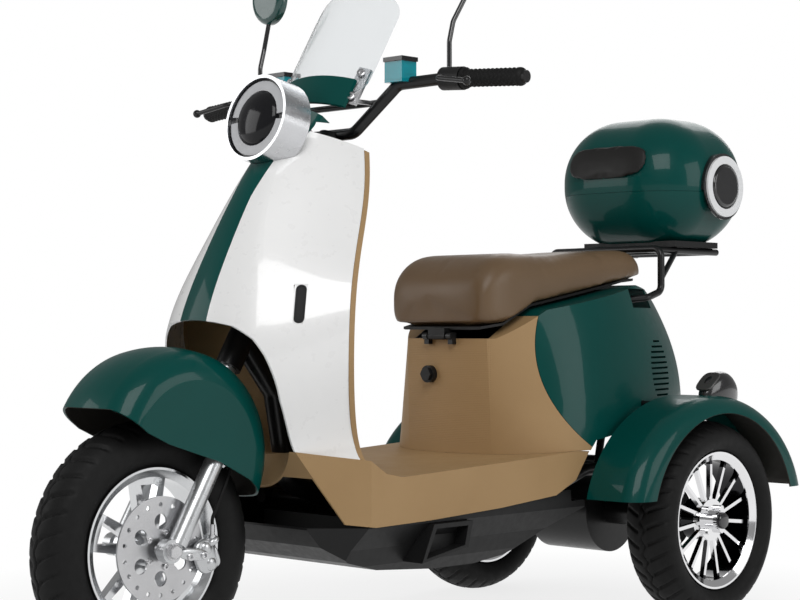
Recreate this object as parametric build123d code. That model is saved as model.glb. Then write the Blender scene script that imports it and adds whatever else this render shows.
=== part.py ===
from build123d import *
import math
import os

# Electric tricycle, in mm. X points to the rider's left, the vehicle faces -Y, Z is up from the floor.
# Every Y below is measured back from the front axle. The last step moves the origin to mid length.

# Running gear
WHEELBASE = 1183.5
FRONT_TYRE_R = 215.3
FRONT_TYRE_W = 90.0
REAR_TYRE_R = 199.3
REAR_TYRE_W = 106.0
REAR_TRACK = 614.6
RIM_R = 137.5
BEAD_R = 127.0
FRONT_RIM_HALF = 36.0
REAR_RIM_HALF = 42.0
RIM_WALL = 4.0
RUNNING_GAP = 0.05
SEAT_GAP = 0.3

# Steering
RAKE = 30.5
AXIS_OFFSET = 12.0
STEM_R = 15.0
HEAD_TUBE_R = 24.0
HEAD_LOW = 350.0
HEAD_HIGH = 620.0
STEM_TOP = 828.0
FORK_HALF = 74.0
FORK_LEG_R = 16.5
CROWN_AT = 246.0
CROWN_HEIGHT = 24.0
FRONT_AXLE_R = 7.5
DISC_X = 50.0
DISC_R = 90.0
DISC_T = 4.0
BAR_R = 11.0
GRIP_R = 15.5
BRACE_Y, BRACE_Z, BRACE_R = 463.0, 1000.0, 6.0
NECK_TOP = 830.0
HEAD_GAP = 7.0

# Bodywork
PANEL = 3.0
PANEL_SEAM = 1.3
MUDGUARD_R = 185.0
MUDGUARD_Y = 41.0
MUDGUARD_Z = 370.0
MUDGUARD_HALF = 97.0
BODY_TAIL = 1440.0

# Headlamp
LAMP_Y = 253.0
LAMP_Z = 965.0
LAMP_R = 80.0
LAMP_TILT = 12.0

# Seat
SEAT_FRONT = 726.0
SEAT_REAR = 1258.0
SEAT_HALF = 145.0
SEAT_HINGE_Y = 732.0
SEAT_HINGE_Z = 570.5
HINGE_PIN_R = 4.0
HINGE_EYE_R = 7.0
PEDESTAL_FRONT = 743.7

# Trunk
TRUNK_Y = 1430.0
TRUNK_Z = 905.0
TRUNK_HALF = (185.0, 170.0, 143.0)
TRUNK_ROUND = 138.0
TRUNK_SPLIT_Z = 880.0
TRUNK_WALL = 4.0
LID_GAP = 0.6
DISC_AT = (TRUNK_Y + 6, 893.0)
BOSS_R = 72.0
BOSS_STAND = 5.0
DOME_R = 46.0
DOME_RISE = 8.0
HINGE_STAND = 6.0
KNUCKLE_R = 5.0

# Rack
RACK_R = 7.5
RACK_HALF = 150.0
RACK_Y = 1262.0
RACK_TOP = TRUNK_Z - TRUNK_HALF[2] - RACK_R - SEAT_GAP

# Windscreen
SCREEN_HALF = 115.0
SCREEN_SAG = 35.0
SCREEN_T = 3.0

MID_Y = (TRUNK_Y + TRUNK_HALF[1] + HINGE_STAND + KNUCKLE_R - FRONT_TYRE_R) / 2
RAKE_RAD = math.radians(RAKE)
REAR_X = REAR_TRACK / 2
PIECES = {}


def both_sides(shape):
    """The shape and its mirror image across the centre plane."""
    return shape, mirror(shape, about=Plane.YZ)


def side_prism(outline, low_x, high_x):
    """A closed outline of side view points, carried across from one X to another."""
    face = make_face(Polyline(*outline, close=True))
    return extrude(Plane.YZ.offset(low_x) * face, amount=high_x - low_x)


def box_between(low, high):
    """A block from its low corner to its high corner."""
    size = [b - a for a, b in zip(low, high)]
    middle = [(a + b) / 2 for a, b in zip(low, high)]
    return Pos(*middle) * Box(*size)


def rod(start, end, radius):
    """A round bar between two points."""
    start, end = Vector(*start), Vector(*end)
    plane = Plane(origin=start, z_dir=end - start)
    return extrude(plane * Circle(radius), amount=(end - start).length)


def bent_tube(points, bend, radius):
    """A round bar along straight runs joined by arcs of one radius."""
    path = FilletPolyline(*points, radius=bend)
    plane = Plane(origin=path @ 0, z_dir=path % 0)
    return sweep(plane * Circle(radius), path=path)


def cross_rod(y, z, low_x, high_x, radius):
    """A round bar across the vehicle."""
    return rod((low_x, y, z), (high_x, y, z), radius)


def ring_across(y, z, low_x, high_x, outer, inner):
    """A tube across the vehicle."""
    return cross_rod(y, z, low_x, high_x, outer) - cross_rod(y, z, low_x - 1, high_x + 1, inner)


def on_axis(along, across=0.0):
    """The point at a distance up the steering axis from wheel height."""
    y = AXIS_OFFSET + along * math.sin(RAKE_RAD)
    z = FRONT_TYRE_R + along * math.cos(RAKE_RAD)
    return (across, y, z)


def keep(name, shape):
    """Store one named piece."""
    PIECES[name] = shape


# Wheels

def rim_barrel(half):
    """The rim's barrel and flanges, turned about X."""
    profile = [(-half, RIM_R), (-half + RIM_WALL, RIM_R), (-half + RIM_WALL + 2, BEAD_R),
               (half - RIM_WALL - 2, BEAD_R), (half - RIM_WALL, RIM_R), (half, RIM_R),
               (half, RIM_R - RIM_WALL), (half - 2 * RIM_WALL, BEAD_R - 6),
               (-half + 2 * RIM_WALL, BEAD_R - 6), (-half, RIM_R - RIM_WALL)]
    return revolve(make_face(Polyline(*profile, close=True)), axis=Axis.X)


def tyre(half_rim, width, radius):
    """A solid tyre whose beads sit between the rim's flanges, turned about X."""
    bead = half_rim - RIM_WALL - 2 - SEAT_GAP
    foot = BEAD_R + SEAT_GAP
    neck = RIM_R + SEAT_GAP + 1
    side = (width / 2, (radius + neck) / 2 + 4)
    shoulder = (width / 2 - 13, radius - 12)
    lines = [Line((-bead, foot), (bead, foot)),
             Line((bead, foot), (bead, neck)),
             ThreePointArc((bead, neck), side, shoulder),
             ThreePointArc(shoulder, (0, radius), (-shoulder[0], shoulder[1])),
             ThreePointArc((-shoulder[0], shoulder[1]), (-side[0], side[1]), (-bead, neck)),
             Line((-bead, neck), (-bead, foot))]
    return revolve(make_face(Wire(lines)), axis=Axis.X)


FRONT_SPOKES = 5
FRONT_HUB_R = 30.0


def front_rim():
    """A cast rim: barrel, five windowed spokes and a bored hub."""
    spokes = Part()
    outer = BEAD_R - 4
    blade = make_face(Polyline((-17, 18), (17, 18), (34, outer), (-34, outer), close=True))
    window = make_face(Polyline((-4, 52), (4, 52), (19, 108), (-19, 108), close=True))
    spoke = extrude(Plane.YZ.offset(4) * (blade - window), amount=18)
    for number in range(FRONT_SPOKES):
        spokes += Rot(X=360 / FRONT_SPOKES * number) * spoke
    hub = cross_rod(0, 0, -40, DISC_X - DISC_T / 2, FRONT_HUB_R)
    bore = cross_rod(0, 0, -60, 60, FRONT_AXLE_R + RUNNING_GAP)
    return rim_barrel(FRONT_RIM_HALF) + (spokes & cross_rod(0, 0, -60, 60, BEAD_R - 3)) + hub - bore


def front_disc():
    """A drilled brake disc with its carrier."""
    disc = ring_across(0, 0, DISC_X - DISC_T / 2, DISC_X + DISC_T / 2, DISC_R, FRONT_AXLE_R + 6)
    for number in range(6):
        disc -= Rot(X=60 * number) * cross_rod(0, 48, DISC_X - 5, DISC_X + 5, 13)
    for number in range(18):
        disc -= Rot(X=20 * number) * cross_rod(0, 76, DISC_X - 5, DISC_X + 5, 4)
    return disc


REAR_SPOKES = 15
REAR_HUB_R = 42.0
SHAFT_R = 12.5
LUG_COUNT = 4
LUG_RING = 30.0


def rear_rim():
    """A chromed rim: deep barrel, thin spokes and a stepped hub with lug barrels and a cap."""
    face = REAR_RIM_HALF - 22
    spoke = box_between((face - 5, -3.5, REAR_HUB_R - 4), (face + 5, 3.5, BEAD_R - 4))
    spokes = Part()
    for number in range(REAR_SPOKES):
        spokes += Rot(X=360 / REAR_SPOKES * number) * spoke
    hub = cross_rod(0, 0, -20, face + 6, REAR_HUB_R) + cross_rod(0, 0, face, face + 30, 19)
    for number in range(LUG_COUNT):
        hub += Rot(X=45 + 360 / LUG_COUNT * number) * cross_rod(0, LUG_RING, face, face + 16, 7)
    return rim_barrel(REAR_RIM_HALF) + spokes + hub - cross_rod(0, 0, -30, 8, SHAFT_R)


def make_wheels():
    front = Pos(0, 0, FRONT_TYRE_R)
    keep("front_rim", front * front_rim())
    keep("front_disc", front * front_disc())
    keep("front_tyre", front * tyre(FRONT_RIM_HALF, FRONT_TYRE_W, FRONT_TYRE_R))
    left = Pos(REAR_X, WHEELBASE, REAR_TYRE_R)
    shaft = cross_rod(0, 0, MOTOR_HALF + 5 - REAR_X, 8, SHAFT_R)
    pieces = {"rear_rim": rear_rim(), "rear_tyre": tyre(REAR_RIM_HALF, REAR_TYRE_W, REAR_TYRE_R),
              "rear_shaft": shaft}
    for name, shape in pieces.items():
        for side, placed in zip(("left", "right"), both_sides(left * shape)):
            keep(f"{name}_{side}", placed)


# Fork and handlebar

def make_fork():
    up = Plane(origin=on_axis(0), z_dir=Vector(*on_axis(1)) - Vector(*on_axis(0)), x_dir=(1, 0, 0))
    legs = Part()
    for x in (-FORK_HALF, FORK_HALF):
        legs += rod(on_axis(10, x), on_axis(CROWN_AT, x), FORK_LEG_R)
        legs += cross_rod(0, FRONT_TYRE_R, x - 10, x + 10, 20)
    crown = up.offset(CROWN_AT) * Box(2 * FORK_HALF + 34, 46, CROWN_HEIGHT)
    stem = rod(on_axis(CROWN_AT), on_axis(STEM_TOP), STEM_R)
    axle_hole = cross_rod(0, FRONT_TYRE_R, -120, 120, FRONT_AXLE_R)
    keep("fork", legs + crown + stem - axle_hole)
    axle = cross_rod(0, FRONT_TYRE_R, -FORK_HALF - 16, FORK_HALF + 16, FRONT_AXLE_R)
    keep("front_axle", axle)
    caliper = box_between((DISC_X - 22, 62, 172), (DISC_X + 24, 112, 222))
    slot = box_between((DISC_X - DISC_T / 2 - 3, 55, 165), (DISC_X + DISC_T / 2 + 3, 100, 230))
    arm = box_between((DISC_X + 16, 26, 192), (FORK_HALF + 4, 80, 214))
    leg_room = rod(on_axis(-20, FORK_HALF), on_axis(100, FORK_HALF), FORK_LEG_R + SEAT_GAP)
    lug_room = cross_rod(0, FRONT_TYRE_R, 40, 120, 20 + SEAT_GAP)
    keep("caliper", caliper - slot + arm - lug_room - leg_room)
    hose = [(66, 100, 222), (66, 100, 262), (68, 128, 320), (64, 158, 385)]
    keep("brake_hose", bent_tube(hose, 24, 3))


def mudguard_solid(inset):
    """The helmet-shaped front mudguard, turned about an axis across the vehicle."""
    r = MUDGUARD_R - inset
    half = MUDGUARD_HALF - inset
    lines = [Line((0, 0), (half, 0)),
             Line((half, 0), (half, r - 55)),
             ThreePointArc((half, r - 55), (half - 15, r - 21), (half - 47, r - 5)),
             ThreePointArc((half - 47, r - 5), (0, r), (-half + 47, r - 5)),
             ThreePointArc((-half + 47, r - 5), (-half + 15, r - 21), (-half, r - 55)),
             Line((-half, r - 55), (-half, 0)),
             Line((-half, 0), (0, 0))]
    return Pos(0, MUDGUARD_Y, MUDGUARD_Z) * revolve(make_face(Wire(lines)), axis=Axis.X)


def make_front_mudguard():
    shell = mudguard_solid(0) - mudguard_solid(PANEL)
    below = [(-300, 470), (-113, 455), (-60, 415), (-15, 394), (93, 360), (160, 326), (214, 284),
             (400, 200), (400, 0), (-300, 0)]
    shell -= side_prism(below, -150, 150)
    stem_hole = rod(on_axis(CROWN_AT), on_axis(HEAD_LOW), STEM_R + SEAT_GAP)
    keep("front_mudguard", shell - stem_hole)


def make_handlebar():
    half_path = [(60, 442, 945), (150, 468, 1030), (240, 488, 1034), (430, 500, 1022)]
    left = [(-x, y, z) for x, y, z in reversed(half_path)]
    bar = bent_tube(left + half_path, 26, BAR_R)
    clamp = rod(on_axis(STEM_TOP - 40), on_axis(STEM_TOP + 16), STEM_R + 9)
    clamp -= rod(on_axis(0), on_axis(STEM_TOP), STEM_R)
    brace = cross_rod(BRACE_Y, BRACE_Z, -117, 117, BRACE_R)
    keep("handlebar", bar + clamp + brace)
    run = Vector(190, 12, -12).normalized()
    start = Vector(240, 488, 1034)
    grip_start, grip_end = start + run * 52, start + run * 189
    grip = rod(grip_start, grip_end, GRIP_R) - rod(start, start + run * 300, BAR_R + RUNNING_GAP)
    switch = rod(start + run * 4, start + run * 50, 21) - rod(start, start + run * 300, BAR_R + RUNNING_GAP)
    switch_room = rod(start, start + run * 60, 21 + SEAT_GAP)
    lever = bent_tube([(262, 466, 1033), (285, 428, 1026), (364, 418, 1013)], 16, 4.5)
    lever += Pos(364, 418, 1013) * Sphere(8)
    tank = box_between((136, 446, 1032), (180, 484, 1070)) + box_between((134, 444, 1070), (182, 486, 1078))
    tank -= bent_tube(left + half_path, 26, BAR_R + SEAT_GAP)
    stem = bent_tube([(256, 490, 1046), (256, 490, 1100), (256, 500, 1137), (272, 528, 1200)], 26, 4.5)
    head = Pos(272, 536, 1245) * extrude(Plane.XZ * Ellipse(46, 52), amount=20)
    head = fillet(head.edges().sort_by(Axis.Y)[0], 14)
    for name, shape in (("grips", grip), ("switch_blocks", switch), ("levers", lever),
                        ("reservoirs", tank), ("mirrors", stem + head - switch_room)):
        keep(name, Compound(list(both_sides(shape))))


# Shield. Columns: height, half width, front, rear edge, nose radius.
SHIELD_SECTIONS = [(345, 228, 150, 315, 175), (604, 226, 109, 270, 175),
                   (671, 212, 136, 290, 150), (742, 180, 172, 334, 112), (816, 142, 214, 385, 80),
                   (880, 112, 257, 418, 58), (960, 84, 312, 440, 50)]


def shield_front(half, front, rear, nose, inset, back):
    """A plan outline: a nose arc, two flanks bent from it to the rear edges, and a straight back."""
    front, half, nose = front + inset, half - inset, nose - inset
    turn = math.radians(45)
    meet = (nose * math.sin(turn), front + nose * (1 - math.cos(turn)))
    nose_arc = ThreePointArc((-meet[0], meet[1]), (0, front), meet)
    flank = TangentArc(meet, (half, rear), tangent=(math.cos(turn), math.sin(turn)))
    far_meet = (-meet[0], meet[1])
    other = TangentArc(far_meet, (-half, rear), tangent=(-math.cos(turn), math.sin(turn)))
    lines = [nose_arc, flank, Line((half, rear), (half, back)), Line((half, back), (-half, back)),
             Line((-half, back), (-half, rear)), other]
    return make_face(Wire(lines))


def shield_solid(inset, reach):
    """The leg shield's outer form, its back moved rearwards by the reach."""
    faces = []
    for height, half, front, rear, nose in SHIELD_SECTIONS:
        face = shield_front(half, front, rear, nose, inset, rear + reach)
        faces.append(Pos(0, 0, height) * face)
    return loft(faces)


ARCH = [(60, 606), (104, 603), (128, 590), (146, 567), (158, 540), (187, 460), (228, 372),
        (258, 310), (290, 240), (290, 0), (-400, 0), (-400, 606)]
SEAM = [(100, 385), (228, 372), (321, 357), (700, 345), (700, 0), (100, 0)]


def make_shield():
    shell = shield_solid(0, 1) - shield_solid(PANEL, 60)
    shell -= side_prism(ARCH, -300, 300)
    shell -= side_prism([(200, 1100), (200, 990), (330, 945), (460, 905), (460, 1100)], -300, 300)
    shell -= side_prism(SEAM, -300, 300)
    shell -= lamp_space(SEAT_GAP)
    edge = [(46, 350), (26, 820), (40, 1000)]
    edge += [(-x, z) for x, z in reversed(edge)]
    band = extrude(Plane.XZ * make_face(Polyline(*edge, close=True)), amount=-600)
    keep("centre_stripe", (shell & band).solids().sort_by(SortBy.VOLUME)[-1])
    white = shell - band
    vent = Pos(165, 212, 628) * Rot(X=-16) * Box(60, 14, 66)
    keep("outer_shield_left", (white & box_between((0, 0, 0), (400, 600, 1200))) - vent)
    far_vent = mirror(vent, about=Plane.YZ)
    keep("outer_shield_right", (white & box_between((-400, 0, 0), (0, 600, 1200))) - far_vent)
    inner = inner_shield_solid(0) - inner_shield_solid(PANEL)
    foot = [(100, 385), (321, 357), (336, 356.3), (360, 332.3), (400, 324.3), (700, 324.3), (700, 0),
            (100, 0)]
    inner -= side_prism(foot, -300, 300)
    inner -= rod(on_axis(0), on_axis(STEM_TOP + 100), STEM_R + 22)
    inner -= side_prism([(200, 1100), (200, 990), (330, 945), (480, 895), (480, 1100)], -300, 300)
    keep("inner_shield", inner - shield_solid(-SEAT_GAP, 1 + SEAT_GAP))


INNER_BULGE = 34.0
INNER_EDGE = 12.0


def inner_shield_solid(inset):
    """The rider's side of the shield: a shallow bulge behind the outer shield's rear edges."""
    faces = []
    for height, half, front, rear, nose in SHIELD_SECTIONS:
        start = rear + 1 + PANEL_SEAM
        wide, edge = half - inset, start + INNER_EDGE - inset
        low = start - (10 if inset else 0)
        lines = [Line((-wide, low), (wide, low)), Line((wide, low), (wide, edge)),
                 ThreePointArc((wide, edge), (0, start + INNER_BULGE - inset), (-wide, edge)),
                 Line((-wide, edge), (-wide, low))]
        faces.append(Pos(0, 0, height) * make_face(Wire(lines)))
    return loft(faces)


# Floor and belly

def plan_outline(inset):
    """The lower body from above: the shield's foot carried straight back."""
    return shield_front(*FOOT_PLAN, inset, FLOOR_REAR - inset)


FLOOR_REAR = 922.0
# Half width, front, rear edge, nose radius
FOOT_PLAN = (228.0, 165.0, 322.0, 175.0)


def turn_room(gap):
    """The room about the steering axis that the turning wheel and mudguard need."""
    low, high = -40.0, 262.0
    axis = Plane(origin=on_axis(0), z_dir=Vector(*on_axis(1)) - Vector(*on_axis(0)), x_dir=(1, 0, 0))
    return axis.offset((low + high) / 2) * Cone(217 + gap, 157 + gap, high - low)


def make_floor():
    skirt = [(228, 371), (258, 310), (290, 246), (334, 240), (472, 243), (661, 252), (821, 265),
             (881, 291), (922, 345), (884, 347), (718, 338), (400, 324), (360, 332), (336, 356)]
    block = extrude(Pos(0, 0, 200) * plan_outline(0), amount=250)
    block &= side_prism([(228, 371.7)] + skirt[1:-1] + [(321, 356.7)], -300, 300)
    room = extrude(Pos(0, 0, 190) * plan_outline(PANEL), amount=260)
    under = [(240, 200), (250, 325), (300, 345), (336, 345), (362, 326), (400, 320), (718, 334.5), (884, 343),
             (922, 340), (922, 200)]
    block -= turn_room(0)
    room = (room & side_prism(under, -300, 300)) - turn_room(PANEL)
    keep("floor_panel", block - room - bent_tube(DOWN_TUBE, 40, 20 + SEAT_GAP))


BELLY_HALF = 222.0


def belly_solid(inset):
    """The belly pan's outer form, or its inside when inset, where its side, front and plan outlines meet."""
    bottom = [(262, 206), (300, 178), (381, 158), (535, 146), (640, 145), (720, 156), (832, 205)]
    profile = [(246 + inset, BELLY_TOP + inset), (246 + inset, 236 + inset)]
    profile += [(y, z + inset) for y, z in bottom]
    profile += [(915 - inset, 236 + inset), (915 - inset, BELLY_TOP + inset)]
    half = [(BELLY_HALF, BELLY_TOP + inset), (BELLY_HALF, 238), (BELLY_TUCK, 200), (BELLY_TUCK - 12, 168),
            (BELLY_TUCK - 28, 146), (BELLY_TUCK - 30, 100)]
    across = [(x - inset, z) for x, z in half]
    across += [(-x, z) for x, z in reversed(across)]
    front_view = extrude(Plane.XZ * make_face(Polyline(*across, close=True)), amount=-1200)
    plan = extrude(Pos(0, 0, 100) * plan_outline(BELLY_SET_IN + inset), amount=300)
    return side_prism(profile, -BELLY_HALF, BELLY_HALF) & front_view & plan


BELLY_TOP = 272.0
BELLY_TUCK = 200.0
BELLY_SET_IN = 5.0


def make_belly():
    pan = belly_solid(0) - belly_solid(PANEL)
    pan -= side_prism([(200, 239.5), (330, 239.5), (340, 400), (200, 400)], -300, 300)
    pan -= side_prism([(862, 400), (874, 250), (1000, 250), (1000, 400)], -300, 300)
    keep("belly_pan", pan)
    keep("side_scoops", Compound(list(both_sides(scoop_solid()))))


def scoop_solid():
    """An open black step on the belly's side."""
    outline = [(441, 169), (562, 189), (575, 236), (472, 236)]
    block = side_prism(outline, BELLY_TUCK - 20, 236) - belly_solid(-SEAT_GAP)
    inside = [(452, 176), (553, 193), (562, 228), (479, 228)]
    return (block - side_prism(inside, BELLY_TUCK + 8, 260)).solids().sort_by(SortBy.VOLUME)[-1]


# Rear body. Columns: height, front half width, front, widest half width, widest station, tail.
BODY_SECTIONS = [(330, 112, 752, 232, 925, 1430), (420, 110, 748, 228, 950, BODY_TAIL),
                 (520, 108, 744, 215, 970, 1425), (600, 104, 742, 198, 990, 1385),
                 (690, 96, 742, 165, 1010, 1320)]


def body_solid(inset):
    """The seat pedestal and tail as one form."""
    faces = []
    for height, nose_half, front, wide, station, tail in BODY_SECTIONS:
        n, f, w, t = nose_half - inset, front + inset, wide - inset, tail - inset
        end_r = TAIL_ROUND * w
        long = t - station
        side_r = (w ** 2 + (long - end_r) ** 2 - end_r ** 2) / (2 * (w - end_r))
        across, along = side_r - w, long - end_r
        reach = math.hypot(across, along)
        meet = (end_r * across / reach, t - end_r + end_r * along / reach)
        lines = [ThreePointArc((-n, f + 14), (0, f), (n, f + 14)),
                 TangentArc((w, station), (n, f + 14), tangent=(0, -1)),
                 TangentArc((w, station), meet, tangent=(0, 1)),
                 ThreePointArc(meet, (0, t), (-meet[0], meet[1])),
                 TangentArc((-w, station), (-meet[0], meet[1]), tangent=(0, 1)),
                 TangentArc((-w, station), (-n, f + 14), tangent=(0, -1))]
        faces.append(Pos(0, 0, height) * make_face(Wire(lines)))
    return loft(faces)


TAIL_ROUND = 0.62
STAY_Z, STAY_R = 432.0, 6.0
GUARD_STAYS = (1116.0, 1252.0)
PORT_AT = (-32.0, 495.0)
BUCKET_HALF = 100.0
BUCKET_Y = (765.0, 1130.0)
BUCKET_FLOOR = 400.0
BODY_TOP = [(600, 564), (700, 564), (770, 566), (866, 622), (1190, 676), (1260, 668), (1340, 620),
            (1600, 420)]
BODY_FOOT = [(500, 0), (500, 338.3), (718, 338.3), (884, 347.3), (922.3, 347.3), (940, 366), (1000, 374),
             (1200, 384), (1600, 420), (1600, 0)]
GRILLE_Y, GRILLE_Z = 1222.0, 497.0
GRILLE_HALF_Y, GRILLE_HALF_Z = 50.0, 67.0
GRILLE_SLOTS = 12


def make_rear_body():
    above = BODY_TOP + [(1600, 900), (600, 900)]
    roof = [(y, z - PANEL) for y, z in BODY_TOP] + [(1600, 900), (600, 900)]
    outer = body_solid(0) - side_prism(above, -300, 300)
    inside = body_solid(PANEL) - side_prism(roof, -300, 300)
    inside += box_between((-BUCKET_HALF, BUCKET_Y[0], 300), (BUCKET_HALF, BUCKET_Y[1], 800))
    shell = outer - inside - side_prism(BODY_FOOT, -300, 300)
    seam_arc = ThreePointArc((862, 640), (828, 545), (936, 348))
    around = Polyline((936, 348), (936, 300), (600, 300), (600, 700), (862, 700), (862, 640))
    ahead = extrude(Plane.YZ.offset(-300) * make_face(Wire([seam_arc, *around.edges()])), amount=600)
    keep("pedestal", shell & ahead)
    port = rod((PORT_AT[0], 734, PORT_AT[1]), (PORT_AT[0], 760, PORT_AT[1]), 17)
    port += extrude(Plane.XZ.offset(-728) * Pos(*PORT_AT) * RegularPolygon(14, 6), amount=-8)
    keep("charge_port", port - body_solid(-SEAT_GAP))
    tail_seam = box_between((-PANEL_SEAM / 2, 700, 0), (PANEL_SEAM / 2, 1600, 900))
    green = shell - Pos(0, PANEL_SEAM, 0) * ahead - tail_seam
    for number in range(GRILLE_SLOTS):
        height = GRILLE_HALF_Z * (2 * (number + 0.5) / GRILLE_SLOTS - 1)
        reach = GRILLE_HALF_Y * math.sqrt(1 - (height / GRILLE_HALF_Z) ** 2)
        for sign in (-1, 1):
            centre = Pos(sign * 190, GRILLE_Y, GRILLE_Z + height)
            green -= centre * Box(90, 2 * reach, 4.2)
    for rack_x in (-1, 1):
        green -= Pos(rack_x * 132, 1190, 648) * Box(110, 110, 40)
    for stay_y in GUARD_STAYS:
        green -= cross_rod(stay_y, STAY_Z, -300, 300, STAY_R + PANEL_SEAM)
    keep("side_panel_left", green & box_between((0, 700, 300), (400, 1600, 800)))
    keep("side_panel_right", green & box_between((-400, 700, 300), (0, 1600, 800)))
    gap, wall = SEAT_GAP, SEAT_GAP + PANEL
    low, high = (-BUCKET_HALF, BUCKET_Y[0], BUCKET_FLOOR), (BUCKET_HALF, BUCKET_Y[1], 700)
    bucket = box_between((low[0] + gap, low[1] + gap, low[2]), (high[0] - gap, high[1] - gap, 700))
    bucket -= box_between((low[0] + wall, low[1] + wall, low[2] + PANEL),
                          (high[0] - wall, high[1] - wall, 710))
    bucket -= side_prism(above, -300, 300)
    keep("storage_bucket", bucket)


# Rear axle, frame, battery
MOTOR_R = 85.0
MOTOR_HALF = 78.0
BEAM_R = 26.0
BEAM_END = 240.0
BATTERY_HALF = 140.0
BATTERY_LOW = (400.0, 159.9)
BATTERY_HIGH = (715.0, 243.0)

RACK_FOOT = (104.0, 1158.0, 642.0)
DOWN_TUBE = [on_axis(HEAD_LOW + 60), (0, 300, 470), (0, 332, 306), (0, 450, 268)]


def make_chassis():
    y, z = WHEELBASE, REAR_TYRE_R
    keep("motor", cross_rod(y, z, -MOTOR_HALF, MOTOR_HALF, MOTOR_R))
    beam = cross_rod(y, z, MOTOR_HALF, BEAM_END, BEAM_R)
    beam -= cross_rod(y, z, MOTOR_HALF - 5, BEAM_END + 5, SHAFT_R + RUNNING_GAP)
    beam += ring_across(y, z, BEAM_END - 12, BEAM_END, 62, BEAM_R - 1)
    left, right = both_sides(beam)
    keep("axle_beam", Compound([left, right]))
    keep("battery", box_between((-BATTERY_HALF, *BATTERY_LOW), (BATTERY_HALF, *BATTERY_HIGH)))
    head = rod(on_axis(HEAD_LOW), on_axis(HEAD_HIGH), HEAD_TUBE_R)
    down = bent_tube(DOWN_TUBE, 40, 20)
    bracket = box_between((-20, 304, 700), (20, 420, 712)) & inner_shield_solid(PANEL + SEAT_GAP)
    frame = head + down + bracket
    for x in (-150, 150):
        frame += bent_tube([(x, 400, 268), (x, 900, 268), (x, 1000, 300), (x, 1250, 300)], 60, 13)
        frame += box_between((x - 8, y - 30, z + BEAM_R - 2), (x + 8, y + 30, 300))
    belly_inside = BELLY_HALF - PANEL - SEAT_GAP
    crossings = ((428, 268, belly_inside), (880, 268, 148), (1085, 300, 148), (1235, 300, 148))
    for cross_y, cross_z, half in crossings:
        frame += cross_rod(cross_y, cross_z, -half, half, 11)
    for x in (-118, 118):
        frame += rod((x, 1085, 302), (x, 1160, 622), 8)
        saddle_x = math.copysign(RACK_FOOT[0] + 8, x)
        frame += box_between((saddle_x - 16, RACK_FOOT[1] - 12, 606),
                             (saddle_x + 16, RACK_FOOT[1] + 12, RACK_FOOT[2] - RACK_R - SEAT_GAP))
    for side in (-1, 1):
        stay_end = side * (GUARD_IN - SEAT_GAP)
        frame += rod((side * 140, 1235, 302), (side * 140, GUARD_STAYS[1], STAY_Z + 4), STAY_R)
        for start, stay_y in zip((118, 140), GUARD_STAYS):
            frame += rod((side * start, stay_y, STAY_Z), (stay_end, stay_y, STAY_Z), STAY_R)
    frame -= rod(on_axis(0), on_axis(STEM_TOP), STEM_R + RUNNING_GAP)
    frame -= cross_rod(y, z, -200, 200, BEAM_R)
    keep("main_frame", frame)


# Rear mudguards
GUARD_LONG, GUARD_HIGH = 300.0, 250.0
GUARD_IN, GUARD_OUT = 246.0, 370.0
GUARD_FOOT = 254.0


def guard_solid(inset):
    """The rear mudguard's outer form: a rounded half ellipse carried across."""
    a, b = GUARD_LONG - inset, GUARD_HIGH - inset
    low_x, high_x = GUARD_IN + inset, GUARD_OUT - inset
    face = Plane.YZ.offset(low_x) * Pos(WHEELBASE, REAR_TYRE_R) * Ellipse(a, b)
    block = extrude(face, amount=high_x - low_x)
    edge = [e for e in block.edges() if e.center().X > high_x - 0.1]
    return fillet(edge, 42 - inset)


def make_rear_mudguards():
    shell = guard_solid(0) - guard_solid(PANEL)
    opening = make_face(Ellipse(240, 216))
    shell -= extrude(Plane.YZ.offset(GUARD_OUT - 30) * Pos(WHEELBASE, REAR_TYRE_R) * opening, amount=60)
    shell -= extrude(Plane.YZ.offset(GUARD_IN - 30) * Pos(WHEELBASE, REAR_TYRE_R) * opening, amount=60)
    shell &= box_between((0, 0, GUARD_FOOT), (500, 2000, 700))
    pod_side = [(1176, 452), (1200, 480), (1232, 497), (1268, 497), (1292, 478), (1300, 440), (1290, 425)]
    pod = side_prism(pod_side, 286, 336)
    pod -= guard_solid(-SEAT_GAP)
    keep("rear_mudguards", Compound(list(both_sides(shell))))
    keep("lamp_pods", Compound(list(both_sides(pod))))


# Headlamp, neck, cowl, windscreen

def lamp_plane():
    """A plane at the lamp's face, its normal pointing out of the lamp."""
    tilt = math.radians(LAMP_TILT)
    return Plane(origin=(0, LAMP_Y, LAMP_Z), x_dir=(1, 0, 0), z_dir=(0, -math.cos(tilt), math.sin(tilt)))


def lamp_space(gap):
    """The room that the lamp's body takes."""
    return extrude(lamp_plane() * Circle(LAMP_R + gap), amount=-(LAMP_DEPTH + gap))


LAMP_DEPTH = 62.0
# Columns: height, nose station, half width, rear station.
NECK_SECTIONS = [(830, 228, 42, 330), (890, 268, 48, 360), (960, 316, 58, 395), (1030, 358, 66, 425)]


def neck_solid(inset):
    """The green neck from the stripe's top to the windscreen's foot."""
    faces = []
    for height, front, half, rear in NECK_SECTIONS:
        f, w = front + inset, half - inset
        lines = [ThreePointArc((-w, f + 40), (0, f), (w, f + 40)), Line((w, f + 40), (w, rear)),
                 Line((w, rear), (-w, rear)), Line((-w, rear), (-w, f + 40))]
        faces.append(Pos(0, 0, height) * make_face(Wire(lines)))
    return loft(faces)


def screen_plane():
    """A plane across the windscreen's slope, its local Z up the sheet."""
    slope = math.radians(31)
    return Plane(origin=(0, 450, 1075), x_dir=(1, 0, 0), z_dir=(0, math.sin(slope), math.cos(slope)))


SCREEN_R = (SCREEN_HALF ** 2 + SCREEN_SAG ** 2) / (2 * SCREEN_SAG)


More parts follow.
